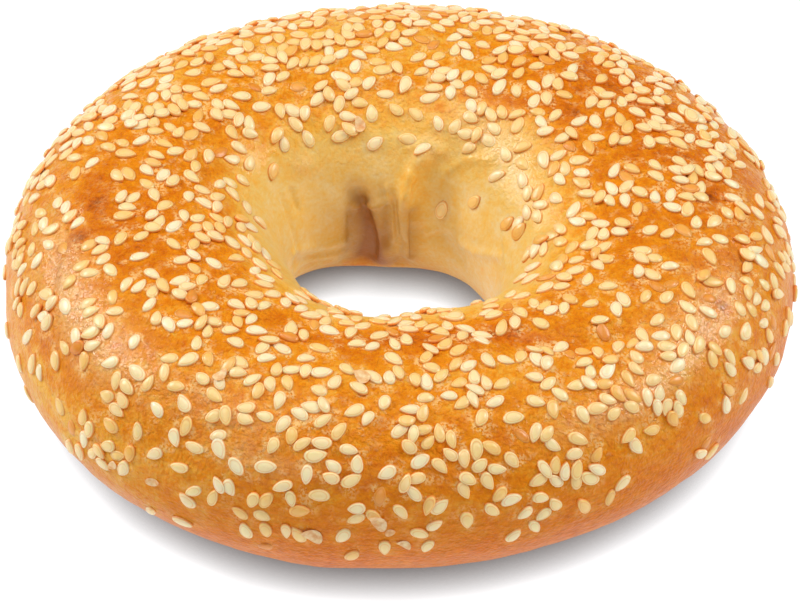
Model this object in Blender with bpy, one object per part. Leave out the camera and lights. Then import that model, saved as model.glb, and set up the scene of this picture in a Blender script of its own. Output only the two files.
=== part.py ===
"""A sesame bagel: one closed ring of baked dough with hulled sesame seeds baked into its crust.

The ring lies on its flat base. X is its longer way and Y its shorter one, Z is up, and the
origin is in the middle of the base. A place on the crust is given by two angles in degrees:
the turn goes round the ring from +X by way of +Y, and the roll goes round the ring's section
from the outer flank (0) over the crown (90) to the neck of the hole (180) and the base (270).
"""
import random

import bmesh
import bpy
import numpy as np
from mathutils import Matrix, Vector
from mathutils.bvhtree import BVHTree

# Driving dimensions of the ring, in metres
RING_LENGTH = 0.1180
RING_WIDTH = 0.1050
RING_HEIGHT = 0.0321
HOLE_WIDTH = 0.0287

# The ring's section, as shares of the dough's breadth and of the ring's height
CREST_SHARE = 0.51
FLANK_SHARE = 0.49
NECK_SHARE = 0.39
TRAY_PRESS = 0.0015

# Relief fades out on the lowest part of the ring, as a share of its height
FADE_SHARE = 0.2

# How full the section is in each quarter: 2 is an ellipse, more is squarer
CROWN_FULLNESS = 2.25
FOOT_FULLNESS = 1.87
HOLE_FOOT_FULLNESS = 2.86

# The hand-rolled dough's unevenness round the ring: waves in a turn, height, turn of the peak
FLANK_WAVES = ((2, 0.0004, 45), (3, 0.0004, -2))
NECK_WAVES = ((1, 0.0014, 195), (2, 0.0016, -16), (3, 0.0005, 14), (4, 0.0009, -28))
HEIGHT_WAVES = ((1, 0.0008, 198), (2, 0.0009, 39))

# Grooves and ridges of the crust: turn and roll of the points, half width, height
STROKES = (
    (((114, 160), (112, 180), (111, 206)), 0.0017, -0.0017),
    (((98, 158), (97, 180)), 0.0012, -0.0007),
    (((91, 164), (88, 184), (88, 204)), 0.0012, -0.0009),
    (((77, 141), (85, 154), (82, 172), (83, 190)), 0.0014, 0.0011),
    (((80, 178), (60, 178), (40, 182)), 0.0010, -0.0005),
    (((295, 106), (302, 96), (313, 84), (322, 76)), 0.0018, -0.0009),
)

# Hollows and swellings of the crust: turn, roll, reach of each, height
PATCHES = (
    (58, 158, 15, 17, -0.0014),
    (103, 174, 7, 16, 0.0006),
    (150, 186, 16, 24, 0.0009),
    (246, 102, 18, 12, -0.0006),
    (203, 26, 20, 16, -0.0006),
    (228, 2, 20, 24, 0.0011),
    (36, 68, 14, 18, -0.0006),
    (335, 44, 16, 18, 0.0006),
    (140, 60, 18, 20, 0.0005),
)

# Seeds for each square centimetre of crust, and what patches add: turn, roll, reaches, seeds
SEEDS_EVERYWHERE = 7.5
LEAST_SEEDS = 0.6
MOST_SEEDS = 18
SEED_PATCHES = (
    (100, 62, 46, 46, 7.0),
    (120, 112, 26, 18, 5.0),
    (8, 78, 16, 16, 5.0),
    (350, 114, 24, 18, 6.0),
    (180, 112, 30, 18, 3.5),
    (230, 96, 16, 14, 6.0),
    (270, 76, 22, 12, 3.5),
    (275, 114, 34, 8, 6.0),
    (36, 70, 14, 16, -5.0),
    (188, 66, 18, 26, -5.0),
    (306, 98, 10, 10, -4.0),
    (208, 22, 16, 18, -6.0),
    (313, 14, 14, 22, -7.0),
    (336, 24, 12, 12, -4.0),
    (240, 24, 30, 22, -2.5),
    (225, 45, 22, 16, -2.5),
    (84, 116, 10, 8, -5.0),
)

# The seeded part of the section: roll where the seeds start, roll where they end and how
# the end waves round the ring, and the width of both edges
SEEDED_FROM = 3
SEEDED_TO = 139
SEEDED_TO_WAVES = ((1, 5, 0), (1, 7, -90))
SEEDED_EDGE = 4
SEED_ROLLS = (-20, 180)

# The largest seeds, the only ones built here
SEED_COUNT = 230
SEED_SPACING = 0.0042
SEED_LENGTH = 0.0034
SEED_WIDTH = 0.0021
SEED_STAND = 0.0006
SEED_FOOT_DEPTH = 0.0003
SEED_FOOT_SHARE = 1.08
SEED_TOP_SHARE = 0.62
SEED_POINT = 0.35
SEED_SIZES = (0.93, 1.07)
SEED_SIDES = 7
SEED_DRAW = 2718

# The mesh of the bare ring
TURN_STEPS = 60
ROLL_STEPS = 24
SMOOTH_UP_TO = 35


def waves_at(turn, waves):
    """The sum of a set of waves round the ring."""
    return sum(height * np.cos(np.radians(count * (turn - peak))) for count, height, peak in waves)


def flank_radius(turn):
    """How far the outer flank lies from the ring's axis."""
    mean = (RING_LENGTH + RING_WIDTH) / 4
    oval = (RING_LENGTH - RING_WIDTH) / 4
    return mean + oval * np.cos(np.radians(2 * turn)) + waves_at(turn, FLANK_WAVES)


def neck_radius(turn):
    """How far the neck of the hole lies from the ring's axis."""
    return HOLE_WIDTH / 2 + waves_at(turn, NECK_WAVES)


def smooth_point(turn, roll):
    """A point of the smooth section: an uneven oval, pressed flat by the tray."""
    turn, roll = np.broadcast_arrays(np.asarray(turn, float), np.asarray(roll, float))
    across = np.cos(np.radians(roll))
    up = np.sin(np.radians(roll))
    flank = flank_radius(turn)
    neck = neck_radius(turn)
    height = RING_HEIGHT + waves_at(turn, HEIGHT_WAVES)
    crest = neck + CREST_SHARE * (flank - neck)
    outer = across >= 0
    widest = np.where(outer, FLANK_SHARE, NECK_SHARE) * height
    foot = np.where(outer, FOOT_FULLNESS, HOLE_FOOT_FULLNESS)
    fullness = np.where(up > 0, CROWN_FULLNESS, foot)
    reach = np.where(outer, flank - crest, crest - neck)
    rise = np.where(up > 0, height - widest, -(widest + TRAY_PRESS))
    radius = crest + reach * np.sign(across) * np.abs(across) ** (2 / fullness)
    level = np.maximum(widest + rise * np.abs(up) ** (2 / fullness), 0)
    turn = np.radians(turn)
    return np.stack([radius * np.cos(turn), radius * np.sin(turn), level], axis=-1)


def outward(turn, roll, point_at):
    """The direction that faces out of the crust."""
    step = 0.5
    along = point_at(turn + step, roll) - point_at(turn - step, roll)
    over = point_at(turn, roll + step) - point_at(turn, roll - step)
    normal = np.cross(along, over)
    return normal / np.maximum(np.linalg.norm(normal, axis=-1, keepdims=True), 1e-12)


def difference(angle, other):
    """The shorter way from one angle to another, in degrees."""
    return (np.asarray(angle) - other + 180) % 360 - 180


def stroke_at(turn, roll, path, half_width):
    """1 along a line drawn on the crust, falling smoothly to 0 beside it."""
    section_radius = 0.018
    nearest = np.full(np.shape(turn), np.inf)
    for (turn_a, roll_a), (turn_b, roll_b) in zip(path, path[1:]):
        ring_radius = np.linalg.norm(smooth_point(turn_a, roll_a)[:2])
        scale = np.radians(np.array([ring_radius, section_radius]))
        run = np.array([difference(turn_b, turn_a), difference(roll_b, roll_a)]) * scale
        here = np.stack([difference(turn, turn_a), difference(roll, roll_a)], axis=-1) * scale
        share = np.clip(here @ run / (run @ run), 0, 1)
        nearest = np.minimum(nearest, np.linalg.norm(here - share[..., None] * run, axis=-1))
    return np.exp(-(nearest / half_width) ** 2)


def patch_at(turn, roll, middle_turn, middle_roll, turn_reach, roll_reach):
    """1 in the middle of an oval patch of crust, falling smoothly to 0 round it."""
    along = difference(turn, middle_turn) / turn_reach
    over = difference(roll, middle_roll) / roll_reach
    return np.exp(-(along ** 2 + over ** 2))


def relief_at(turn, roll):
    """How far the crust stands above the smooth section."""
    strokes = sum(high * stroke_at(turn, roll, path, wide) for path, wide, high in STROKES)
    patches = sum(patch[4] * patch_at(turn, roll, *patch[:4]) for patch in PATCHES)
    return strokes + patches


def crust_point(turn, roll):
    """A point of the crust. The base stays flat."""
    turn, roll = np.broadcast_arrays(np.asarray(turn, float), np.asarray(roll, float))
    smooth = smooth_point(turn, roll)
    relief = relief_at(turn, roll)[..., None] * outward(turn, roll, smooth_point)
    fade = np.clip(smooth[..., 2:] / (FADE_SHARE * RING_HEIGHT), 0, 1)
    return smooth + fade * relief


def seed_cover(turn, roll):
    """Seeds for each square centimetre of crust."""
    cover = SEEDS_EVERYWHERE
    cover += sum(patch[4] * patch_at(turn, roll, *patch[:4]) for patch in SEED_PATCHES)
    last = SEEDED_TO + waves_at(turn, SEEDED_TO_WAVES)
    low_edge = 1 / (1 + np.exp((SEEDED_FROM - roll) / SEEDED_EDGE))
    high_edge = 1 / (1 + np.exp((roll - last) / SEEDED_EDGE))
    return np.maximum(cover, LEAST_SEEDS) * low_edge * high_edge


def seed_places(count, spacing, draw):
    """Turn and roll of seeds thrown on the crust, closest where the cover is thickest."""
    most = MOST_SEEDS * flank_radius(0)
    places = []
    spots = []
    while len(places) < count:
        turn = draw.uniform(0, 360)
        roll = draw.uniform(*SEED_ROLLS)
        smooth = smooth_point(turn, roll)
        if draw.random() * most > seed_cover(turn, roll) * np.hypot(smooth[0], smooth[1]):
            continue
        if spots and min(np.linalg.norm(np.array(spots) - smooth, axis=1)) < spacing:
            continue
        spots.append(smooth)
        places.append((turn, roll))
    return places


def make_material(name, colour, roughness):
    """A plain Principled material."""
    material = bpy.data.materials.new(name)
    material.use_nodes = True
    shader = material.node_tree.nodes["Principled BSDF"]
    shader.inputs["Base Color"].default_value = (*colour, 1)
    shader.inputs["Roughness"].default_value = roughness
    shader.inputs["Metallic"].default_value = 0
    return material


def make_ring(material):
    """The bare baked ring, as a grid of triangles round and over the section."""
    turns, rolls = np.meshgrid(
        np.arange(TURN_STEPS) * 360 / TURN_STEPS, np.arange(ROLL_STEPS) * 360 / ROLL_STEPS, indexing="ij"
    )
    points = crust_point(turns, rolls)
    grid = bmesh.new()
    rows = [[grid.verts.new(point) for point in row] for row in points]
    for i, row in enumerate(rows):
        following = rows[(i + 1) % TURN_STEPS]
        for j in range(ROLL_STEPS):
            k = (j + 1) % ROLL_STEPS
            face = grid.faces.new((row[j], following[j], following[k], row[k]))
            face.smooth = True
    bmesh.ops.triangulate(grid, faces=grid.faces)
    bmesh.ops.recalc_face_normals(grid, faces=grid.faces)
    mesh = bpy.data.meshes.new("bagel")
    grid.to_mesh(mesh)
    grid.free()
    mesh.materials.append(material)
    ring = bpy.data.objects.new("bagel", mesh)
    bpy.context.collection.objects.link(ring)
    return ring


def make_seed_mesh(material):
    """One hulled seed along X, blunt at one end and pointed at the other, with its foot in the crust."""
    shape = bmesh.new()
    rings = []
    for share, level in ((SEED_FOOT_SHARE, -SEED_FOOT_DEPTH), (SEED_TOP_SHARE, SEED_STAND)):
        ring = []
        for k in range(SEED_SIDES):
            angle = 2 * np.pi * k / SEED_SIDES
            x = share * SEED_LENGTH / 2 * np.cos(angle)
            y = share * SEED_WIDTH / 2 * np.sin(angle) * (1 - SEED_POINT * np.cos(angle))
            ring.append(shape.verts.new((x, y, level)))
        rings.append(ring)
    foot, top = rings
    for k in range(SEED_SIDES):
        n = (k + 1) % SEED_SIDES
        shape.faces.new((foot[k], foot[n], top[n], top[k]))
    shape.faces.new(top)
    shape.faces.new(foot[::-1])
    mesh = bpy.data.meshes.new("seed")
    shape.to_mesh(mesh)
    shape.free()
    mesh.materials.append(material)
    return mesh


def make_seeds(ring, mesh, draw):
    """The seeds in a collection of their own, each lying on the ring's crust at its own angle."""
    seeds = bpy.data.collections.new("seeds")
    bpy.context.scene.collection.children.link(seeds)
    corners = [vertex.co for vertex in ring.data.vertices]
    surface = BVHTree.FromPolygons(corners, [face.vertices for face in ring.data.polygons])
    for turn, roll in seed_places(SEED_COUNT, SEED_SPACING, draw):
        spot = surface.find_nearest(Vector(crust_point(turn, roll)))[0]
        normal = Vector(outward(turn, roll, crust_point))
        lying = normal.to_track_quat("Z", "Y").to_matrix().to_4x4()
        spin = Matrix.Rotation(draw.uniform(0, 2 * np.pi), 4, "Z")
        size = Matrix.Diagonal((draw.uniform(*SEED_SIZES), draw.uniform(*SEED_SIZES), 1, 1))
        seed = bpy.data.objects.new("seed", mesh)
        seed.matrix_world = Matrix.Translation(spot) @ lying @ spin @ size
        seeds.objects.link(seed)
    return seeds


def fuse(body, seeds):
    """Joins the seeds to the ring, as they are baked into its crust."""
    join = body.modifiers.new("seeds", "BOOLEAN")
    join.operation = "UNION"
    join.operand_type = "COLLECTION"
    join.collection = seeds
    join.solver = "EXACT"
    join.material_mode = "TRANSFER"
    bpy.context.view_layer.update()
    evaluated = body.evaluated_get(bpy.context.evaluated_depsgraph_get())
    fused = bpy.data.meshes.new_from_object(evaluated)
    body.modifiers.clear()
    body.data = fused
    for seed in list(seeds.objects):
        bpy.data.objects.remove(seed, do_unlink=True)
    bpy.data.collections.remove(seeds)


for old in list(bpy.data.objects):
    bpy.data.objects.remove(old, do_unlink=True)

crust = make_material("crust", (0.66, 0.27, 0.045), 0.42)
sesame = make_material("sesame", (0.86, 0.66, 0.30), 0.45)
bagel = make_ring(crust)
fuse(bagel, make_seeds(bagel, make_seed_mesh(sesame), random.Random(SEED_DRAW)))
bagel.data.set_sharp_from_angle(angle=np.radians(SMOOTH_UP_TO))
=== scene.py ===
"""A sesame bagel: its glossy baked crust and the hulled sesame seeds on it.

A place on the crust is given by two angles in degrees: the turn goes round the ring from +X by
way of +Y, and the roll goes round the ring's section from the outer flank (0) over the crown
(90) to the neck of the hole (180) and the base (270). Everything is in metres.
"""
import random

import bpy
import numpy as np
from mathutils import Matrix, Vector, noise
from mathutils.bvhtree import BVHTree


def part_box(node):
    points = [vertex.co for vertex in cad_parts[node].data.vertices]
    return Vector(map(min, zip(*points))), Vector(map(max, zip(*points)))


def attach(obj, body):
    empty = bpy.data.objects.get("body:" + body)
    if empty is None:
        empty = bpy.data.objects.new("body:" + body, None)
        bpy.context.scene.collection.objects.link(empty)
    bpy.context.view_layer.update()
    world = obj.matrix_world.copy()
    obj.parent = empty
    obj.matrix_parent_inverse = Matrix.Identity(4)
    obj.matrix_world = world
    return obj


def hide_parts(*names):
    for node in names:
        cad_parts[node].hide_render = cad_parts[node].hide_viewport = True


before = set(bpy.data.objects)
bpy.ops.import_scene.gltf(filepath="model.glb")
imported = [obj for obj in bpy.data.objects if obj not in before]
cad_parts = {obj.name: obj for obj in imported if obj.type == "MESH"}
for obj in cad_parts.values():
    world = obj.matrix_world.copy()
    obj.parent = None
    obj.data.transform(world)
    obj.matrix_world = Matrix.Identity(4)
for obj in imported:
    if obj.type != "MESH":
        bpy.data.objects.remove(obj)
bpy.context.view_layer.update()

# The ring of dough: one strand rolled by hand, its ends joined at the back of the hole, then
# boiled and baked on a tray to a thin glossy crust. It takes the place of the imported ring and
# keeps its form, with the small lumps, wrinkles and pits that the solid is too coarse for.
SEEDS_PAST_WIDTH = 0.001
SEEDS_PAST_HEIGHT = 0.0022
ring_low, ring_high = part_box("bagel")
ring_length = round(ring_high.x - ring_low.x, 3)
ring_width = round(ring_high.y - ring_low.y - SEEDS_PAST_WIDTH, 3)
ring_height = round(ring_high.z - ring_low.z - SEEDS_PAST_HEIGHT, 4)
HOLE_WIDTH = 0.0287
CREST_SHARE = 0.51
FLANK_SHARE = 0.49
NECK_SHARE = 0.39
TRAY_PRESS = 0.0015
FADE_SHARE = 0.2
CROWN_FULLNESS = 2.25
FOOT_FULLNESS = 1.87
HOLE_FOOT_FULLNESS = 2.86

# The hand-rolled dough's unevenness round the ring: waves in a turn, height, turn of the peak
FLANK_WAVES = ((2, 0.0004, 45), (3, 0.0004, -2))
NECK_WAVES = ((1, 0.0014, 195), (2, 0.0016, -16), (3, 0.0005, 14), (4, 0.0009, -28))
HEIGHT_WAVES = ((1, 0.0008, 198), (2, 0.0009, 39))

# Grooves and ridges of the crust: turn and roll of the points, half width, height
STROKES = (
    (((114, 160), (112, 180), (111, 206)), 0.0017, -0.0017),
    (((98, 158), (97, 180)), 0.0012, -0.0007),
    (((91, 164), (88, 184), (88, 204)), 0.0012, -0.0009),
    (((77, 141), (85, 154), (82, 172), (83, 190)), 0.0014, 0.0011),
    (((80, 178), (60, 178), (40, 182)), 0.0010, -0.0005),
    (((295, 106), (302, 96), (313, 84), (322, 76)), 0.0018, -0.0009),
)

# Hollows and swellings of the crust: turn, roll, reach of each, height
PATCHES = (
    (58, 158, 15, 17, -0.0014),
    (103, 174, 7, 16, 0.0006),
    (150, 186, 16, 24, 0.0009),
    (246, 102, 18, 12, -0.0006),
    (203, 26, 20, 16, -0.0006),
    (228, 2, 20, 24, 0.0011),
    (36, 68, 14, 18, -0.0006),
    (335, 44, 16, 18, 0.0006),
    (140, 60, 18, 20, 0.0005),
)

# Small wrinkles, cracks and burst blisters, written the same way
FINE_STROKES = (
    (((130, 195), (146, 191), (165, 194)), 0.0005, -0.0003),
    (((9, 77), (5, 70), (3, 62)), 0.0006, -0.0005),
    (((353, 58), (350, 52)), 0.0006, -0.0004),
    (((183, 66), (190, 56), (197, 47)), 0.0009, -0.0005),
    (((34, 84), (31, 74), (27, 62)), 0.0006, -0.0003),
    (((41, 84), (38, 72), (34, 60)), 0.0006, -0.0003),
    (((119, 170), (120, 184), (121, 202)), 0.0007, -0.0004),
    (((157, 177), (138, 182), (123, 182)), 0.0005, 0.0005),
    (((155, 182), (138, 187), (124, 187)), 0.0006, -0.0004),
    (((112, 164), (110, 173), (107, 182), (106, 201)), 0.0007, -0.0005),
    (((116, 168), (103, 164), (97, 162)), 0.0005, 0.0006),
    (((96, 155), (94, 167), (93, 181)), 0.0005, 0.0006),
    (((82, 149), (84, 156), (87, 168), (86, 178)), 0.0006, 0.0005),
    (((80, 168), (79, 180), (80, 189)), 0.0009, -0.0007),
    (((69, 178), (58, 174), (52, 172)), 0.0005, 0.0006),
    (((41, 175), (26, 173), (10, 165), (2, 160)), 0.0006, 0.0004),
    (((70, 157), (64, 146), (55, 138), (44, 133)), 0.0007, 0.0003),
    (((15, 148), (354, 158)), 0.0004, 0.0004),
    (((144, 151), (145, 160)), 0.0005, -0.0004),
    (((150, 150), (152, 166), (153, 180)), 0.0006, -0.0003),
    (((68, 137), (76, 133), (84, 136)), 0.0008, 0.0004),
    (((205, 13), (216, 11), (228, 14)), 0.0006, -0.0003),
    (((208, 6), (221, 5), (236, 8)), 0.0006, -0.0002),
)
FINE_PATCHES = (
    (348, 50, 2.2, 3.5, -0.0007),
    (350, 44, 2.5, 3.0, 0.0005),
    (85, 157, 3.0, 4.0, 0.0005),
    (225, 20, 2.0, 2.0, -0.0004),
    (227, 23, 1.4, 2.0, -0.0003),
    (58, 151, 11, 9, 0.0006),
    (263, 76, 1.4, 4.0, -0.0004),
    (251, 67, 1.4, 4.0, -0.0004),
    (240, 44, 1.6, 3.0, -0.0004),
    (261, 36, 1.2, 4.0, -0.0004),
    (134, 142, 5.0, 5.0, 0.0004),
    (130, 186, 7, 9, 0.0004),
)

# Random unevenness of the crust: size of the lumps, height
LUMPS = ((0.0095, 0.00030), (0.0036, 0.00011), (0.0014, 0.00005))

# Where the glaze dried pale and crackled, its pale colour partly a painted sheen: turn, roll, reaches,
# how strongly
CRACKLED = (
    (194, 55, 11, 10, 0.9),
    (212, 50, 13, 13, 0.9),
    (334, 57, 13, 13, 1.0),
    (312, 48, 13, 9, 0.9),
    (46, 122, 22, 12, 0.8),
    (246, 38, 9, 9, 0.5),
    (75, 136, 7, 7, 0.7),
    (240, 54, 9, 8, 0.5),
    (134, 142, 6, 7, 0.7),
)
CRACKLE_SIZE = 0.0011
CRACKLE_HEIGHT = 0.00008

# How deeply the crust is baked, from 0 (cream) to 1 (dark brown), over the section and in places
BAKED_ROLLS = (-70, -35, 0, 20, 45, 70, 90, 104, 118, 132, 150, 172, 188, 204, 225, 270, 290)
BAKED = (
    0.74, 0.68, 0.62, 0.60, 0.58, 0.62, 0.62, 0.64, 0.52, 0.32, 0.14, 0.12, 0.18, 0.36, 0.66, 0.76, 0.74,
)
BAKED_PATCHES = (
    (24, 64, 30, 20, 0.15),
    (275, 105, 40, 9, 0.22),
    (181, 75, 2.5, 4, 0.22),
    (189, 66, 2.5, 5, 0.22),
    (190, 58, 2, 4, 0.26),
    (3, 69, 1.6, 4, 0.26),
    (339, 56, 1.8, 5, 0.3),
    (84, 150, 9, 9, 0.16),
    (76, 166, 7, 15, 0.12),
    (180, 124, 34, 14, 0.12),
    (203, 25, 18, 14, 0.12),
    (186, 86, 36, 28, 0.13),
    (8, 82, 36, 28, 0.10),
    (52, 84, 26, 24, 0.10),
    (100, 75, 50, 26, -0.10),
    (205, 8, 34, 22, -0.16),
    (45, 122, 24, 14, -0.16),
    (270, 42, 50, 22, 0.12),
)

# Lines along which the crust is darker: path, half width, how much
BAKED_STROKES = (
    (((293, 107), (302, 97), (312, 86)), 0.0016, 0.14),
    (((34, 96), (50, 104), (66, 108)), 0.0012, 0.12),
)

# Where the joined ends of the strand are stained brown, with painted shade low on the back wall of the
# hole: lines and patches
STAINED_AND_SHADED_STROKES = (
    (((112, 165), (110, 174), (107, 183), (106, 201)), 0.0020, 0.55),
    (((80, 167), (79, 180), (80, 190)), 0.0013, 0.30),
    (((98, 166), (97, 184)), 0.0009, 0.22),
    (((120, 172), (120, 190)), 0.0010, 0.16),
)
STAINED_AND_SHADED_PATCHES = (
    # Painted shade in the hollow of the join and low on the back wall of the hole
    (110, 184, 10, 22, 0.34),
    (98, 201, 36, 13, 0.50),
    (92, 176, 12, 18, 0.18),
    (125, 176, 12, 18, 0.10),
)
MOST_STAINED_AND_SHADED = 0.85

# The tan skin of the lower flank, which the glaze hardly reached: rolls and strength
TAN_ROLLS = (-70, -10, 8, 24, 60, 290)
TAN = (0.9, 0.9, 0.65, 0.2, 0.0, 0.0)

# Where the glaze ran lower down the flank: turn, roll, reaches
GLAZED_LOW = (208, 6, 28, 26)

# How pebbly the glaze is: most on the crown, while the wall of the hole is smooth
PEBBLED_ROLLS = (-70, -20, 10, 35, 105, 128, 150, 290)
PEBBLED = (0.5, 0.6, 0.7, 1.0, 1.0, 0.45, 0.16, 0.4)

# Rows of the mesh round the ring and over its section, closer where the crust is seen
TURN_STEPS = 498
ROLL_STEPS = 200
DENSE_ROLLS = (-22, 212)
SPARSE_SHARE = 0.42
MEASURING_STEPS = 1440
SECTION_RADIUS = 0.018


def waves_at(turn, waves):
    """The sum of a set of waves round the ring."""
    return sum(height * np.cos(np.radians(count * (turn - peak))) for count, height, peak in waves)


def flank_radius(turn):
    """How far the outer flank lies from the ring's axis."""
    mean = (ring_length + ring_width) / 4
    oval = (ring_length - ring_width) / 4
    return mean + oval * np.cos(np.radians(2 * turn)) + waves_at(turn, FLANK_WAVES)


def neck_radius(turn):
    """How far the neck of the hole lies from the ring's axis."""
    return HOLE_WIDTH / 2 + waves_at(turn, NECK_WAVES)


def smooth_point(turn, roll):
    """A point of the smooth section: an uneven oval, pressed flat by the tray."""
    turn, roll = np.broadcast_arrays(np.asarray(turn, float), np.asarray(roll, float))
    across = np.cos(np.radians(roll))
    up = np.sin(np.radians(roll))
    flank = flank_radius(turn)
    neck = neck_radius(turn)
    height = ring_height + waves_at(turn, HEIGHT_WAVES)
    crest = neck + CREST_SHARE * (flank - neck)
    outer = across >= 0
    widest = np.where(outer, FLANK_SHARE, NECK_SHARE) * height
    foot = np.where(outer, FOOT_FULLNESS, HOLE_FOOT_FULLNESS)
    fullness = np.where(up > 0, CROWN_FULLNESS, foot)
    reach = np.where(outer, flank - crest, crest - neck)
    rise = np.where(up > 0, height - widest, -(widest + TRAY_PRESS))
    radius = crest + reach * np.sign(across) * np.abs(across) ** (2 / fullness)
    level = np.maximum(widest + rise * np.abs(up) ** (2 / fullness), 0)
    turn = np.radians(turn)
    return np.stack([radius * np.cos(turn), radius * np.sin(turn), level], axis=-1)


def outward(turn, roll, point_at):
    """The direction that faces out of the crust."""
    step = 0.5
    shortest = 1e-12
    along = point_at(turn + step, roll) - point_at(turn - step, roll)
    over = point_at(turn, roll + step) - point_at(turn, roll - step)
    normal = np.cross(along, over)
    return normal / np.maximum(np.linalg.norm(normal, axis=-1, keepdims=True), shortest)


def difference(angle, other):
    """The shorter way from one angle to another, in degrees."""
    return (np.asarray(angle) - other + 180) % 360 - 180


def stroke_at(turn, roll, path, half_width):
    """1 along a line drawn on the crust, falling smoothly to 0 beside it."""
    nearest = np.full(np.shape(turn), np.inf)
    for (turn_a, roll_a), (turn_b, roll_b) in zip(path, path[1:]):
        ring_radius = np.linalg.norm(smooth_point(turn_a, roll_a)[:2])
        scale = np.radians(np.array([ring_radius, SECTION_RADIUS]))
        run = np.array([difference(turn_b, turn_a), difference(roll_b, roll_a)]) * scale
        here = np.stack([difference(turn, turn_a), difference(roll, roll_a)], axis=-1) * scale
        share = np.clip(here @ run / (run @ run), 0, 1)
        nearest = np.minimum(nearest, np.linalg.norm(here - share[..., None] * run, axis=-1))
    return np.exp(-(nearest / half_width) ** 2)


def patch_at(turn, roll, middle_turn, middle_roll, turn_reach, roll_reach):
    """1 in the middle of an oval patch of crust, falling smoothly to 0 round it."""
    along = difference(turn, middle_turn) / turn_reach
    over = difference(roll, middle_roll) / roll_reach
    return np.exp(-(along ** 2 + over ** 2))


def relief_at(turn, roll, all_strokes, all_patches):
    """How far the crust stands above the smooth section."""
    strokes = sum(high * stroke_at(turn, roll, path, wide) for path, wide, high in all_strokes)
    patches = sum(patch[4] * patch_at(turn, roll, *patch[:4]) for patch in all_patches)
    return strokes + patches


def fade_at(smooth):
    """Relief fades out towards the tray, so that the base stays flat."""
    return np.clip(smooth[..., 2:] / (FADE_SHARE * ring_height), 0, 1)


def crust_point(turn, roll):
    """A point of the crust, with its large grooves and swellings."""
    turn, roll = np.broadcast_arrays(np.asarray(turn, float), np.asarray(roll, float))
    smooth = smooth_point(turn, roll)
    relief = relief_at(turn, roll, STROKES, PATCHES)[..., None]
    return smooth + fade_at(smooth) * relief * outward(turn, roll, smooth_point)


def rough(points, size):
    """Random unevenness from -1 to 1, with lumps of this size."""
    values = [noise.noise(point) for point in (points.reshape(-1, 3) / size).tolist()]
    return np.array(values).reshape(points.shape[:-1])


def ring_rolls():
    """Rolls of the mesh's rows: close together where the crust is seen, wider on the base."""
    fine = np.linspace(DENSE_ROLLS[0], DENSE_ROLLS[0] + 360, MEASURING_STEPS + 1)
    section = smooth_point(0, fine)
    lengths = np.linalg.norm(np.diff(section, axis=0), axis=1)
    lengths *= np.where(fine[:-1] < DENSE_ROLLS[1], 1, SPARSE_SHARE)
    run = np.concatenate([[0], np.cumsum(lengths)])
    return np.interp(np.arange(ROLL_STEPS) / ROLL_STEPS * run[-1], run, fine)


turns, rolls = np.meshgrid(np.arange(TURN_STEPS) * 360 / TURN_STEPS, ring_rolls(), indexing="ij")
coarse = crust_point(turns, rolls)
crackled = np.clip(sum(patch[4] * patch_at(turns, rolls, *patch[:4]) for patch in CRACKLED), 0, 1)
fine_relief = relief_at(turns, rolls, FINE_STROKES, FINE_PATCHES)
fine_relief += sum(high * rough(coarse, size) for size, high in LUMPS)
fine_relief += crackled * CRACKLE_HEIGHT * (1 - 2 * np.abs(rough(coarse, CRACKLE_SIZE)))
skin = coarse + fade_at(coarse) * fine_relief[..., None] * outward(turns, rolls, crust_point)

corners = np.arange(TURN_STEPS * ROLL_STEPS).reshape(TURN_STEPS, ROLL_STEPS)
ahead = np.roll(corners, -1, axis=0)
faces = np.stack([corners, ahead, np.roll(ahead, -1, axis=1), np.roll(corners, -1, axis=1)], axis=-1)
ring_mesh = bpy.data.meshes.new("dough_ring")
ring_mesh.from_pydata(skin.reshape(-1, 3).tolist(), [], faces.reshape(-1, 4).tolist())
ring_mesh.shade_smooth()
ring = bpy.data.objects.new("dough_ring", ring_mesh)
bpy.context.scene.collection.objects.link(ring)


def mark(mesh, name, values):
    """Keeps a number for each point of a mesh, for its material."""
    attribute = mesh.attributes.new(name, "FLOAT", "POINT")
    attribute.data.foreach_set("value", np.asarray(values, np.float32).ravel())


wrapped = (rolls - BAKED_ROLLS[0]) % 360 + BAKED_ROLLS[0]
baked = np.interp(wrapped, BAKED_ROLLS, BAKED)
baked += relief_at(turns, rolls, BAKED_STROKES, BAKED_PATCHES)
mark(ring_mesh, "baked", baked)
# The stain of the join, and painted shade low on the back wall of the hole
stained_and_shaded = np.clip(relief_at(turns, rolls, STAINED_AND_SHADED_STROKES, STAINED_AND_SHADED_PATCHES), 0, MOST_STAINED_AND_SHADED)
mark(ring_mesh, "stained_and_shaded", stained_and_shaded)
mark(ring_mesh, "crackled", crackled)
tan = np.interp(wrapped, TAN_ROLLS, TAN) * (1 - patch_at(turns, rolls, *GLAZED_LOW))
mark(ring_mesh, "tan", tan)
mark(ring_mesh, "pebbled", np.interp(wrapped, PEBBLED_ROLLS, PEBBLED))


def add_node(material, kind, inputs=None, **settings):
    """A node of a material. An input is given as a value, or as the output that it is linked to."""
    made = material.node_tree.nodes.new(kind)
    for name, value in settings.items():
        setattr(made, name, value)
    for name, value in (inputs or {}).items():
        if isinstance(value, bpy.types.NodeSocket):
            material.node_tree.links.new(value, made.inputs[name])
        else:
            made.inputs[name].default_value = value
    return made


def marked(material, name):
    """The number that a mesh keeps under this name."""
    return add_node(material, "ShaderNodeAttribute", attribute_name=name).outputs["Fac"]


def reckoned(material, way, one, other=0.0):
    """A number that the Math node makes of one number or two, in any of its ways."""
    return add_node(material, "ShaderNodeMath", {0: one, 1: other}, operation=way).outputs[0]


def plus(material, one, other):
    """The sum of two numbers."""
    return reckoned(material, "ADD", one, other)


def minus(material, one, other):
    """One number less another."""
    return reckoned(material, "SUBTRACT", one, other)


def times(material, one, other):
    """One number times another."""
    return reckoned(material, "MULTIPLY", one, other)


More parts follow.
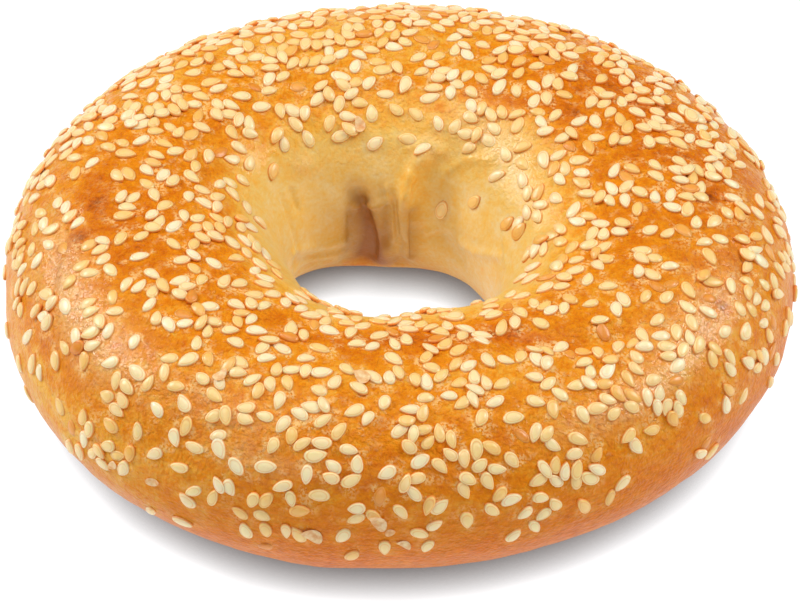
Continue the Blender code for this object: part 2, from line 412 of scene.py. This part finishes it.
def mixed(material, share, one, other):
    """Two colours mixed by a share from 0 to 1. The numbers are the Mix node's colour sockets."""
    return add_node(material, "ShaderNodeMix", {0: share, 6: one, 7: other}, data_type="RGBA").outputs[2]


def grain(material, size, detail=3.0, flattened=1.0):
    """Random unevenness from 0 to 1, with grains of this size in metres, flattened if wanted."""
    where = add_node(material, "ShaderNodeTexCoord").outputs["Object"]
    if flattened != 1.0:
        squeezed = {"Vector": where, "Scale": (1, 1, flattened)}
        where = add_node(material, "ShaderNodeMapping", squeezed).outputs[0]
    inputs = {"Vector": where, "Scale": 1 / size, "Detail": detail}
    return add_node(material, "ShaderNodeTexNoise", inputs).outputs["Fac"]


def centred(material, value, height):
    """Unevenness from 0 to 1 turned into one round 0."""
    return times(material, minus(material, value, 0.5), height)


def specks(material, size, detail, start, steepness):
    """1 where the grains stand well above the start, 0 below it."""
    risen = times(material, minus(material, grain(material, size, detail), start), steepness)
    return add_node(material, "ShaderNodeClamp", {0: risen}).outputs[0]


def paint(red, green, blue):
    """A colour as seen on a screen, from 0 to 255, as the light that a surface returns."""
    shares = np.array([red, green, blue]) / 255
    light = np.where(shares <= 0.04045, shares / 12.92, ((shares + 0.055) / 1.055) ** 2.4)
    return (*light.tolist(), 1.0)


def scale(material, stops, value):
    """A colour scale over a number from 0 to 1."""
    ramp = add_node(material, "ShaderNodeValToRGB", {0: value})
    for k, (place, colour) in enumerate(stops):
        stop = ramp.color_ramp.elements[k] if k < 2 else ramp.color_ramp.elements.new(place)
        stop.position = place
        stop.color = colour
    return ramp.outputs["Color"]


def start_material(name):
    """A new material with its shader."""
    material = bpy.data.materials.new(name)
    material.use_nodes = True
    return material, material.node_tree.nodes["Principled BSDF"]


def bumped(material, height, depth, under=None):
    """Relief too fine for the mesh, this deep in metres."""
    inputs = {"Height": height, "Distance": depth, "Strength": 1.0}
    if under is not None:
        inputs["Normal"] = under
    return add_node(material, "ShaderNodeBump", inputs).outputs["Normal"]


CRUST_STOPS = (
    (0.0, paint(236, 210, 150)),
    (0.2, paint(238, 196, 106)),
    (0.4, paint(240, 176, 64)),
    (0.58, paint(233, 140, 12)),
    (0.78, paint(212, 106, 0)),
    (1.0, paint(136, 54, 6)),
)
TAN_STOPS = (
    (0.35, paint(190, 84, 12)),
    (0.65, paint(234, 118, 24)),
)
STAIN_AND_SHADE_COLOUR = paint(142, 70, 18)
PALE_AND_SHEEN_COLOUR = paint(254, 206, 138)
FLECK_COLOUR = paint(254, 214, 144)

# Unevenness of the baking: size of the grains, their detail, how far they change it
UNEVENLY_BAKED = ((0.006, 3.0, 0.30), (0.0014, 5.0, 0.36), (0.0005, 2.0, 0.34))
PALER_BESIDE_SEEDS = 0.08

# Pale flecks of dry dough, broken up by finer crumbs: size, detail, start, steepness
FLECKS = (0.0020, 5.0, 0.50, 9.0)
CRUMBS = (0.0004, 2.0, 0.42, 8.0)
FLECKED = 0.18
FLECKED_BESIDE_SEEDS = 0.5

# Streaks of the tan skin along the flank: size, detail, how much flatter than long
STREAKS = (0.005, 5.0, 7.0)
STREAKED = 0.9
TANNED = 0.62
TAN_GRAIN = (0.0012, 5.0, 3.0)

# The web of threads on the crackled glaze, and how pale the glaze and the threads are, partly as a
# painted sheen
WEB_GRAIN = (0.0012, 4.0)
WEB_FINENESS = 7.0
PALE_GLAZE_AND_SHEEN = 0.14
PALE_THREADS_AND_SHEEN = 0.42

# Roughness of the crust, and the share of it that the clear glaze covers
MATT = 0.40
MATT_GRAIN = (0.0016, 3.0)
MATT_UNEVENNESS = 0.3
SMOOTHER_CRACKLED = 0.14
GLAZED = 0.17
GLAZED_CRACKLED = 0.83
GLAZED_LESS_TAN = 0.15

# Relief too fine for the mesh: size of the grains, their detail, depth
FINE_SKIN = (0.0005, 2.0, 0.0002)
BLISTERS = (0.0010, 3.0, 0.00042)
GLAZE_RIPPLES = (0.0008, 3.0, 0.00017)
CRACKLE_DEPTH = 0.00009
GLAZE_CRACKLE_DEPTH = 0.00008

crust, crust_shader = start_material("baked_crust")
depth_baked = marked(crust, "baked")
for size, detail, height in UNEVENLY_BAKED:
    depth_baked = plus(crust, depth_baked, centred(crust, grain(crust, size, detail), height))
near_seed = marked(crust, "beside_seed")
depth_baked = minus(crust, depth_baked, times(crust, near_seed, PALER_BESIDE_SEEDS))
glazed_colour = scale(crust, CRUST_STOPS, depth_baked)
pebbled = marked(crust, "pebbled")
flecks = times(crust, specks(crust, *FLECKS), specks(crust, *CRUMBS))
flecked = plus(crust, FLECKED, times(crust, near_seed, FLECKED_BESIDE_SEEDS))
fleck_share = times(crust, times(crust, flecks, pebbled), flecked)
glazed_colour = mixed(crust, fleck_share, glazed_colour, FLECK_COLOUR)
streaked = plus(crust, TANNED, centred(crust, grain(crust, *STREAKS), STREAKED))
tan_share = times(crust, marked(crust, "tan"), streaked)
tan_colour = scale(crust, TAN_STOPS, grain(crust, *TAN_GRAIN))
crust_colour = mixed(crust, tan_share, glazed_colour, tan_colour)
# Brown of the stained join, with painted shade deep in the back of the hole
crust_colour = mixed(crust, marked(crust, "stained_and_shaded"), crust_colour, STAIN_AND_SHADE_COLOUR)
web = reckoned(crust, "ABSOLUTE", centred(crust, grain(crust, *WEB_GRAIN), WEB_FINENESS))
threads = reckoned(crust, "MAXIMUM", minus(crust, 1.0, web))
crackle = times(crust, threads, marked(crust, "crackled"))
# The pale glaze and its threads, partly a painted sheen
pale_and_sheen_share = times(crust, marked(crust, "crackled"), PALE_GLAZE_AND_SHEEN)
pale_and_sheen_share = plus(crust, pale_and_sheen_share, times(crust, crackle, PALE_THREADS_AND_SHEEN))
crust_colour = mixed(crust, pale_and_sheen_share, crust_colour, PALE_AND_SHEEN_COLOUR)
crust.node_tree.links.new(crust_colour, crust_shader.inputs["Base Color"])
matt = plus(crust, MATT, centred(crust, grain(crust, *MATT_GRAIN), MATT_UNEVENNESS))
matt = minus(crust, matt, times(crust, marked(crust, "crackled"), SMOOTHER_CRACKLED))
crust.node_tree.links.new(matt, crust_shader.inputs["Roughness"])
glazed = plus(crust, GLAZED, times(crust, marked(crust, "crackled"), GLAZED_CRACKLED))
glazed = minus(crust, glazed, times(crust, marked(crust, "tan"), GLAZED_LESS_TAN))
crust.node_tree.links.new(glazed, crust_shader.inputs["Coat Weight"])


def pebbly_bump(size, detail, depth, under=None):
    """Relief of the crust that is deepest where the glaze is pebbly."""
    return bumped(crust, times(crust, grain(crust, size, detail), pebbled), depth, under)


skin_bump = pebbly_bump(*BLISTERS, pebbly_bump(*FINE_SKIN))
skin_bump = bumped(crust, crackle, CRACKLE_DEPTH, skin_bump)
crust.node_tree.links.new(skin_bump, crust_shader.inputs["Normal"])
glaze_bump = bumped(crust, crackle, GLAZE_CRACKLE_DEPTH, pebbly_bump(*GLAZE_RIPPLES))
crust.node_tree.links.new(glaze_bump, crust_shader.inputs["Coat Normal"])
crust_shader.inputs["Subsurface Weight"].default_value = 0.08
crust_shader.inputs["Subsurface Radius"].default_value = (1.0, 0.45, 0.10)
crust_shader.inputs["Subsurface Scale"].default_value = 0.0012
crust_shader.inputs["Specular IOR Level"].default_value = 0.2
crust_shader.inputs["Specular Tint"].default_value = (1.0, 0.75, 0.40, 1.0)
crust_shader.inputs["Coat Roughness"].default_value = 0.12
ring_mesh.materials.append(crust)
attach(ring, "root")
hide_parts("bagel")

# The sesame seeds: hulled seeds about 3 mm long, flat ovals that are blunt at one end and
# pointed at the other. The wet dough was pressed into them, so most lie flat and partly sunk in
# the crust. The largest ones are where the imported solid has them.
SEEDS_EVERYWHERE = 7.5
LEAST_SEEDS = 0.6
MOST_SEEDS = 18
SEED_PATCHES = (
    (100, 62, 46, 46, 7.0),
    (120, 112, 26, 18, 5.0),
    (8, 78, 16, 16, 5.0),
    (350, 114, 24, 18, 6.0),
    (180, 112, 30, 18, 3.5),
    (230, 96, 16, 14, 6.0),
    (270, 76, 22, 12, 3.5),
    (275, 114, 34, 8, 6.0),
    (36, 70, 14, 16, -5.0),
    (188, 66, 18, 26, -5.0),
    (306, 98, 10, 10, -4.0),
    (208, 22, 16, 18, -6.0),
    (313, 14, 14, 22, -7.0),
    (336, 24, 12, 12, -4.0),
    (240, 24, 30, 22, -2.5),
    (225, 45, 22, 16, -2.5),
    (84, 116, 10, 8, -5.0),
)
SMALL_SEED_PATCHES = (
    (206, 124, 30, 12, 12.0),
    (95, 70, 56, 38, 13.0),
    (176, 6, 20, 20, -3.0),
    (275, 112, 40, 9, 9.0),
    (150, 100, 40, 26, 3.0),
    (30, 100, 40, 26, 3.0),
    (5, 75, 30, 34, 4.0),
    (262, 70, 60, 26, 4.0),
    (178, 84, 30, 24, -1.5),
    (50, 84, 24, 22, -2.0),
)

# Rolls between which seeds lie, with the waves of the upper limit and how softly they end
SEEDED_FROM = 3
SEEDED_TO = 139
SEEDED_TO_WAVES = ((1, 5, 0), (1, 7, -90))
SEEDED_EDGE = 4
SEED_ROLLS = (-20, 180)

# The largest seeds, and then the smaller ones between them
LARGE_COUNT = 230
LARGE_SPACING = 0.0042
LARGE_LENGTH = 0.0033
LARGE_WIDTH = 0.00192
LARGE_SIZES = (0.93, 1.07)
SEED_POINTS = (0.15, 0.60)
SEED_DRAW = 2718
SEED_TOTAL = 1380
SMALL_SPACING = 0.00155
SMALL_LENGTHS = (0.0026, 0.0032)
SMALL_WIDTHS = (0.00155, 0.0019)
SEED_THICKNESS = (0.00075, 0.00095)
SEED_SIDES = 16
SPINS_TRIED = 6

# How far a seed is sunk, grooved, bent down at its ends and leaned to one side
SINKS = (-0.00008, 0.00010)
TOASTED_SINK = 0.00022
GROOVES = (-0.00008, 0.00011)
BENDS = (-0.0001, 0.0002)
LEANS = (-0.1, 0.1)

# Shares of the kinds. Golden ones are more frequent in one patch: turn, roll, reaches
GOLDEN_SHARE = 0.12
GOLDEN_PATCH = (350, 60, 50, 60)
GOLDEN_PATCH_SHARE = 0.08
STRAW_SHARE = 0.38
TOASTED_SHARE = 0.04

# Seeds that lie in known places, away from the others: turn, roll, spin, kind
LONE_SEEDS = (
    (61, 166, 80, "ivory"),
    (40, 153, 60, "golden"),
    (12, 147, 75, "golden"),
    (3, 143, 100, "golden"),
    (190, 58, 20, "toasted"),
    (255, 17, 10, "golden"),
    (263, -9, 60, "golden"),
)


def seed_cover(turn, roll, patches):
    """Seeds for each square centimetre of crust."""
    cover = SEEDS_EVERYWHERE
    cover += sum(patch[4] * patch_at(turn, roll, *patch[:4]) for patch in patches)
    last = SEEDED_TO + waves_at(turn, SEEDED_TO_WAVES)
    low_edge = 1 / (1 + np.exp((SEEDED_FROM - roll) / SEEDED_EDGE))
    high_edge = 1 / (1 + np.exp((roll - last) / SEEDED_EDGE))
    return np.maximum(cover, LEAST_SEEDS) * low_edge * high_edge


def seed_places(count, spacing, draw, spots, patches):
    """Turn and roll of seeds thrown on the crust, closest where the cover is thickest."""
    most = MOST_SEEDS * flank_radius(0)
    places = []
    while len(places) < count:
        turn = draw.uniform(0, 360)
        roll = draw.uniform(*SEED_ROLLS)
        smooth = smooth_point(turn, roll)
        if draw.random() * most > seed_cover(turn, roll, patches) * np.hypot(smooth[0], smooth[1]):
            continue
        if spots and min(np.linalg.norm(np.array(spots) - smooth, axis=1)) < spacing:
            continue
        spots.append(smooth)
        places.append((turn, roll))
    return places


# One seed from below to above: share of its outline, height as a share of its thickness
SEED_PROFILE = (
    (0.60, -0.40),
    (0.90, -0.26),
    (1.00, -0.02),
    (0.97, 0.18),
    (0.90, 0.34),
    (0.80, 0.45),
    (0.66, 0.51),
    (0.45, 0.58),
    (0.22, 0.61),
)
SEED_BOTTOM = -0.42
SEED_TOP = 0.62
RIM_SHARE = 0.66


def seed_form(length, width, thick, groove, bend, lean, point):
    """Points of one seed along X, and for each of them how near it is to the seed's edge."""
    angle = np.arange(SEED_SIDES) * 2 * np.pi / SEED_SIDES
    x = length / 2 * np.cos(angle)
    y = np.sin(angle) * np.sin(angle / 2) ** point
    y *= width / 2 / np.abs(y).max()
    points = [(0, 0, SEED_BOTTOM * thick)]
    edge = [0.0]
    for share, level in SEED_PROFILE:
        sunk = groove if share == RIM_SHARE else 0
        for a, b in zip(x, y):
            points.append((share * a, share * b, level * thick - sunk))
            edge.append(share if level > 0 else 1.0)
    points.append((0, 0, SEED_TOP * thick))
    edge.append(0.0)
    points = np.array(points)
    along = points[:, 0] / (length / 2)
    points[:, 1] += lean * width * (along ** 2 - 0.5)
    points[:, 2] -= bend * along ** 2
    return points, np.array(edge), along


def one_seed_faces():
    """The faces of one seed."""
    sides = SEED_SIDES
    rings = len(SEED_PROFILE)
    made = []
    for k in range(sides):
        n = (k + 1) % sides
        made.append((0, 1 + n, 1 + k))
        for ring_number in range(rings - 1):
            low = 1 + ring_number * sides
            made.append((low + k, low + n, low + sides + n, low + sides + k))
        high = 1 + (rings - 1) * sides
        made.append((high + k, high + n, high + sides))
    return made


def seed_faces(count):
    """The faces of this many seeds, whose points follow one another."""
    points_of_one = SEED_SIDES * len(SEED_PROFILE) + 2
    made = []
    for number in range(count):
        for face in one_seed_faces():
            made.append([corner + number * points_of_one for corner in face])
    return made


# Seeds that lie already, and how the next one leans on those near it
skin_tree = BVHTree.FromPolygons(skin.reshape(-1, 3).tolist(), faces.reshape(-1, 4).tolist())
lying_seeds = []
lying_middles = []
NEAR_SEEDS = 0.0045
PROBE_SHARE = 0.85
PROBE_ANGLES = np.arange(12) * np.pi / 6
PROBES = PROBE_SHARE * np.stack([np.cos(PROBE_ANGLES), np.sin(PROBE_ANGLES)], axis=-1)
PROBES = np.concatenate([[(0, 0)], PROBES])
STEEPEST = 0.55
LEANING = 0.75
DOME = 0.3


def heights_under(spots, neighbours):
    """How high the seeds that lie already reach at these spots."""
    reached = np.zeros(len(spots))
    for other in neighbours:
        local = (spots - other["middle"]) @ other["axes"].T
        away = np.hypot(local[:, 0] / other["half"][0], local[:, 1] / other["half"][1])
        dome = other["top"] * np.clip(1 - away ** 2, 0, 1) ** DOME
        level = np.where(away < 1, other["lift"] + local[:, :2] @ other["slope"] + dome, 0)
        reached = np.maximum(reached, level)
    return reached


def lay_seed(turn, roll, spins, half, top):
    """Finds how one seed lies: flat on the crust, or leaning on the seeds already under it."""
    spot = np.array(skin_tree.find_nearest(Vector(crust_point(turn, roll)))[0])
    normal = Vector(outward(turn, roll, crust_point))
    lying = normal.to_track_quat("Z", "Y").to_matrix()
    neighbours = []
    if lying_middles:
        away = np.linalg.norm(np.array(lying_middles) - spot, axis=1)
        neighbours = [lying_seeds[number] for number in np.flatnonzero(away < NEAR_SEEDS)]
    flat = PROBES * half
    best = None
    for spin in spins:
        axes = np.array((lying @ Matrix.Rotation(spin, 3, "Z")).transposed())
        reached = heights_under(spot + flat @ axes[:2], neighbours)
        if best is None or reached.sum() < best[0].sum():
            best = (reached, axes)
    reached, axes = best
    slope = np.zeros(2)
    lift = 0.0
    if reached.max() > 0:
        spread = np.column_stack([flat, np.ones(len(flat))])
        fit = np.linalg.lstsq(spread, reached, rcond=None)[0]
        slope = np.clip(fit[:2], -STEEPEST, STEEPEST)
        lift = max(0.0, (reached - flat @ slope).max() * LEANING)
    place = {"middle": spot, "axes": axes, "half": half, "slope": slope, "lift": lift, "top": top}
    lying_seeds.append(place)
    lying_middles.append(spot)
    return place


KINDS = ("ivory", "straw", "golden", "toasted")
seed_draw = random.Random(SEED_DRAW)
spots = []
large_places = seed_places(LARGE_COUNT, LARGE_SPACING, seed_draw, spots, SEED_PATCHES)
sown = []
for turn, roll in large_places:
    spin = seed_draw.uniform(0, 2 * np.pi)
    long_by = seed_draw.uniform(*LARGE_SIZES)
    wide_by = seed_draw.uniform(*LARGE_SIZES)
    sown.append((turn, roll, [spin], LARGE_LENGTH * long_by, LARGE_WIDTH * wide_by, None))
for turn, roll, spin, kind in LONE_SEEDS:
    spots.append(smooth_point(turn, roll))
    sown.append((turn, roll, [np.radians(spin)], SMALL_LENGTHS[1], SMALL_WIDTHS[1], kind))
small_count = SEED_TOTAL - len(sown)
all_patches = SEED_PATCHES + SMALL_SEED_PATCHES
for turn, roll in seed_places(small_count, SMALL_SPACING, seed_draw, spots, all_patches):
    spin = seed_draw.uniform(0, 2 * np.pi)
    spins = [spin + k * np.pi / SPINS_TRIED for k in range(SPINS_TRIED)]
    length = seed_draw.uniform(*SMALL_LENGTHS)
    width = seed_draw.uniform(*SMALL_WIDTHS)
    sown.append((turn, roll, spins, length, width, None))

kind_points = {kind: [] for kind in KINDS}
kind_tints = {kind: [] for kind in KINDS}
kind_edges = {kind: [] for kind in KINDS}
kind_tips = {kind: [] for kind in KINDS}
for turn, roll, spins, length, width, kind in sown:
    if kind is None:
        golden = GOLDEN_SHARE + GOLDEN_PATCH_SHARE * float(patch_at(turn, roll, *GOLDEN_PATCH))
        chance = seed_draw.random()
        kind = "ivory"
        if chance < TOASTED_SHARE:
            kind = "toasted"
        elif chance <= golden:
            kind = "golden"
        elif chance <= STRAW_SHARE + golden:
            kind = "straw"
    thick = seed_draw.uniform(*SEED_THICKNESS)
    sink = seed_draw.uniform(*SINKS) + (TOASTED_SINK if kind == "toasted" else 0)
    place = lay_seed(turn, roll, spins, (length / 2, width / 2), SEED_TOP * thick - sink)
    groove = max(0.0, seed_draw.uniform(*GROOVES))
    bend = seed_draw.uniform(*BENDS)
    lean = seed_draw.uniform(*LEANS)
    point = seed_draw.uniform(*SEED_POINTS)
    points, edge, along = seed_form(length, width, thick, groove, bend, lean, point)
    points[:, 2] += place["lift"] - sink + points[:, :2] @ place["slope"]
    kind_points[kind].append(place["middle"] + points @ place["axes"])
    kind_tints[kind].append(np.full(len(points), seed_draw.random()))
    kind_edges[kind].append(edge)
    kind_tips[kind].append(along)

# The glaze is thinner and paler close round each seed
SKIRT_SHARE = 1.25
SKIRT_SPREAD = 0.6
beside_seed = np.zeros(turns.size)
skin_points = skin.reshape(-1, 3)
for place in lying_seeds:
    near = np.flatnonzero(np.abs(skin_points - place["middle"]).max(axis=1) < LARGE_LENGTH)
    local = (skin_points[near] - place["middle"]) @ place["axes"].T
    away = np.hypot(local[:, 0] / place["half"][0], local[:, 1] / place["half"][1])
    skirt = np.exp(-((away - SKIRT_SHARE) / SKIRT_SPREAD) ** 2)
    beside_seed[near] = np.maximum(beside_seed[near], np.where(away < SKIRT_SHARE, 1, skirt))
mark(ring_mesh, "beside_seed", beside_seed)


BLACK = (0, 0, 0, 1)
GREY = (0.5, 0.5, 0.5, 1)
WHITE = (1, 1, 1, 1)
# The line of the rim, then the outer edge and lower sides in painted warm shade
RIM_AND_SHADE_STOPS = ((0.60, BLACK), (0.70, GREY), (0.80, BLACK), (0.89, BLACK), (1.0, WHITE))
RIM_AND_SHADE_STRENGTH = 0.85
TIP_STOPS = ((0.72, BLACK), (1.0, WHITE))
TIP_STRENGTH = 0.5
TINT_GRAIN = 0.0012
TINT_UNEVENNESS = 0.5
SEED_MATT = 0.38
SEED_MATT_GRAIN = 0.0005
SEED_MATT_UNEVENNESS = 0.2
SEED_SKIN_GRAIN = (0.0004, 4.0)
SEED_SKIN_DEPTH = 0.00003


def seed_material(name, pale, warm, edge_and_shade_colour, clear):
    """Hulled sesame: satin, a little see-through, warmer at its edge and at its pointed end, with
    painted warm shade on its lower sides.
    """
    material, shader = start_material(name)
    unevenly = centred(material, grain(material, TINT_GRAIN), TINT_UNEVENNESS)
    shade = plus(material, marked(material, "tint"), unevenly)
    colour = scale(material, ((0.0, pale), (1.0, warm)), shade)
    rim_and_shade = scale(material, RIM_AND_SHADE_STOPS, marked(material, "edge"))
    colour = mixed(material, times(material, rim_and_shade, RIM_AND_SHADE_STRENGTH), colour, edge_and_shade_colour)
    tip = scale(material, TIP_STOPS, marked(material, "tip"))
    colour = mixed(material, times(material, tip, TIP_STRENGTH), colour, edge_and_shade_colour)
    material.node_tree.links.new(colour, shader.inputs["Base Color"])
    unevenly = centred(material, grain(material, SEED_MATT_GRAIN), SEED_MATT_UNEVENNESS)
    material.node_tree.links.new(plus(material, SEED_MATT, unevenly), shader.inputs["Roughness"])
    normal = bumped(material, grain(material, *SEED_SKIN_GRAIN), SEED_SKIN_DEPTH)
    material.node_tree.links.new(normal, shader.inputs["Normal"])
    shader.inputs["Subsurface Weight"].default_value = clear
    shader.inputs["Subsurface Radius"].default_value = (1.0, 0.62, 0.28)
    shader.inputs["Subsurface Scale"].default_value = 0.0012
    shader.inputs["Coat Weight"].default_value = 0.3
    shader.inputs["Coat Roughness"].default_value = 0.2
    return material


# Of each kind: its palest and warmest colour, the colour of its edge and of the painted warm shade on
# its lower sides, how see-through it is
SEED_COLOURS = {
    "ivory": (paint(255, 234, 190), paint(254, 212, 142), paint(246, 148, 46), 0.35),
    "straw": (paint(255, 226, 168), paint(253, 202, 118), paint(244, 140, 40), 0.4),
    "golden": (paint(252, 210, 134), paint(246, 184, 90), paint(236, 126, 30), 0.4),
    "toasted": (paint(244, 172, 78), paint(230, 140, 36), paint(212, 108, 12), 0.4),
}
for kind in KINDS:
    points = kind_points[kind]
    mesh = bpy.data.meshes.new("sesame_" + kind)
    mesh.from_pydata(np.concatenate(points).tolist(), [], seed_faces(len(points)))
    mesh.shade_smooth()
    mark(mesh, "tint", np.concatenate(kind_tints[kind]))
    mark(mesh, "edge", np.concatenate(kind_edges[kind]))
    mark(mesh, "tip", np.concatenate(kind_tips[kind]))
    mesh.materials.append(seed_material("sesame_" + kind, *SEED_COLOURS[kind]))
    seeds = bpy.data.objects.new("sesame_" + kind, mesh)
    bpy.context.scene.collection.objects.link(seeds)
    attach(seeds, "root")

# Flakes of husk: thin dry skins that came off some seeds, curled up at their ends and caught in
# the glaze, most of them low on the front. They are a little see-through.
HUSK_THICKNESS = 0.00012
HUSK_CURL = 0.0004
HUSK_LEAN = 0.15
HUSK_POINT = 0.5
HUSK_STOPS = ((0.3, paint(232, 156, 84)), (0.7, paint(255, 220, 168)))
HUSK_GRAIN = (0.0008, 4.0)
HUSK_DEPTH = 0.0001

# Each flake: turn, roll, spin, length, width
HUSK_PLACES = (
    (257, 4, 150, 0.0034, 0.0021),
    (267, 14, 125, 0.0034, 0.0019),
    (271, 1, 145, 0.0024, 0.0013),
    (269, 8, 30, 0.0016, 0.0012),
    (232, 10, 20, 0.0024, 0.0013),
    (225, 8, 60, 0.0020, 0.0012),
    (262, 85, 80, 0.0028, 0.0019),
    (235, 70, 60, 0.0024, 0.0015),
    (106, 125, 100, 0.0026, 0.0016),
)
husk_points = []
for turn, roll, spin, length, width in HUSK_PLACES:
    half = (length / 2, width / 2)
    place = lay_seed(turn, roll, [np.radians(spin)], half, HUSK_THICKNESS)
    form = seed_form(length, width, HUSK_THICKNESS, 0, -HUSK_CURL, HUSK_LEAN, HUSK_POINT)
    points = form[0]
    points[:, 2] += place["lift"] + points[:, :2] @ place["slope"]
    husk_points.append(place["middle"] + points @ place["axes"])
husk_mesh = bpy.data.meshes.new("husk_flakes")
husk_mesh.from_pydata(np.concatenate(husk_points).tolist(), [], seed_faces(len(husk_points)))
husk_mesh.shade_smooth()
husk, husk_shader = start_material("seed_husk")
veined = grain(husk, *HUSK_GRAIN)
husk.node_tree.links.new(scale(husk, HUSK_STOPS, veined), husk_shader.inputs["Base Color"])
husk.node_tree.links.new(bumped(husk, veined, HUSK_DEPTH), husk_shader.inputs["Normal"])
husk_shader.inputs["Roughness"].default_value = 0.45
husk_shader.inputs["Subsurface Weight"].default_value = 0.3
husk_shader.inputs["Subsurface Radius"].default_value = (1.0, 0.6, 0.3)
husk_shader.inputs["Subsurface Scale"].default_value = 0.0006
husk_mesh.materials.append(husk)
husk_flakes = bpy.data.objects.new("husk_flakes", husk_mesh)
bpy.context.scene.collection.objects.link(husk_flakes)
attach(husk_flakes, "root")

# The studio: a white table, a large softbox above, one in front and a smaller one at each side,
# and a camera with a long lens that looks down on the bagel from the front.
CAMERA_HEIGHT_ANGLE = np.radians(46.5)
CAMERA_DISTANCE = 0.6
CAMERA_AIM = Vector((0.0004, -0.00375, 0.0138))
LENS = 180.3
SENSOR_WIDTH = 36
FARTHEST_SEEN = 20
TABLE_HALF = 3.0
TABLE_GAP = 0.0001
TABLE_COLOUR = paint(96, 102, 106)
TABLE_GLOW_COLOUR = (0.985, 0.99, 1.0, 1)
TABLE_MATT = 0.8
# A painted contact shadow: how near the bagel the table's glow fades, and how much
SHADOW_REACH = 0.005
SHADOW_DEPTH = 1.1
SHADOW_SAMPLES = 8
ROOM_LIGHT = 0.13

# Each softbox: name, place, what it faces, width, height, power
SOFTBOXES = (
    ("overhead", (-0.12, 0.02, 0.88), (0, 0, 0), 0.6, 0.5, 2.3),
    ("front", (0.0, -0.78, 0.52), (0, 0, 0.01), 0.7, 0.4, 1.6),
    ("left_side", (-0.62, 0.25, 0.52), (0, 0, 0.015), 0.34, 0.32, 4.0),
    ("right_side", (0.58, 0.14, 0.58), (0, 0, 0.015), 0.34, 0.28, 3.5),
)


def softbox(name, place, aim, width, height, power):
    """A softbox that faces the bagel."""
    lamp = bpy.data.lights.new(name, "AREA")
    lamp.shape = "RECTANGLE"
    lamp.size = width
    lamp.size_y = height
    lamp.energy = power
    holder = bpy.data.objects.new(name, lamp)
    holder.location = place
    holder.rotation_mode = "QUATERNION"
    holder.rotation_quaternion = (Vector(aim) - Vector(place)).to_track_quat("-Z", "Y")
    bpy.context.scene.collection.objects.link(holder)


table_mesh = bpy.data.meshes.new("table")
signs = ((-1, -1), (1, -1), (1, 1), (-1, 1))
table_corners = [(x * TABLE_HALF, y * TABLE_HALF, 0) for x, y in signs]
table_mesh.from_pydata(table_corners, [], [(0, 1, 2, 3)])
table = bpy.data.objects.new("table", table_mesh)
table.location.z = -TABLE_GAP
bpy.context.scene.collection.objects.link(table)
table_paint, table_shader = start_material("white_table")
table_shader.inputs["Base Color"].default_value = TABLE_COLOUR
table_shader.inputs["Emission Color"].default_value = TABLE_GLOW_COLOUR
# The table's glow fades close to the bagel, a painted contact shadow
reach = {"Distance": SHADOW_REACH}
painted_contact_shadow = add_node(table_paint, "ShaderNodeAmbientOcclusion", reach, samples=SHADOW_SAMPLES)
glow_less_painted_shadow = reckoned(table_paint, "POWER", painted_contact_shadow.outputs["AO"], SHADOW_DEPTH)
table_paint.node_tree.links.new(glow_less_painted_shadow, table_shader.inputs["Emission Strength"])
table_shader.inputs["Roughness"].default_value = TABLE_MATT
table_mesh.materials.append(table_paint)

for box in SOFTBOXES:
    softbox(*box)

world = bpy.data.worlds.new("studio")
world.use_nodes = True
world.node_tree.nodes["Background"].inputs["Color"].default_value = (1, 1, 1, 1)
world.node_tree.nodes["Background"].inputs["Strength"].default_value = ROOM_LIGHT
bpy.context.scene.world = world
bpy.context.scene.view_settings.view_transform = "Standard"

lens = bpy.data.cameras.new("camera")
lens.lens = LENS
lens.sensor_width = SENSOR_WIDTH
lens.clip_end = FARTHEST_SEEN
camera = bpy.data.objects.new("camera", lens)
back = Vector((0, -np.cos(CAMERA_HEIGHT_ANGLE), np.sin(CAMERA_HEIGHT_ANGLE)))
camera.location = CAMERA_AIM + CAMERA_DISTANCE * back
camera.rotation_mode = "QUATERNION"
camera.rotation_quaternion = (-back).to_track_quat("-Z", "Y")
bpy.context.scene.collection.objects.link(camera)
bpy.context.scene.camera = camera
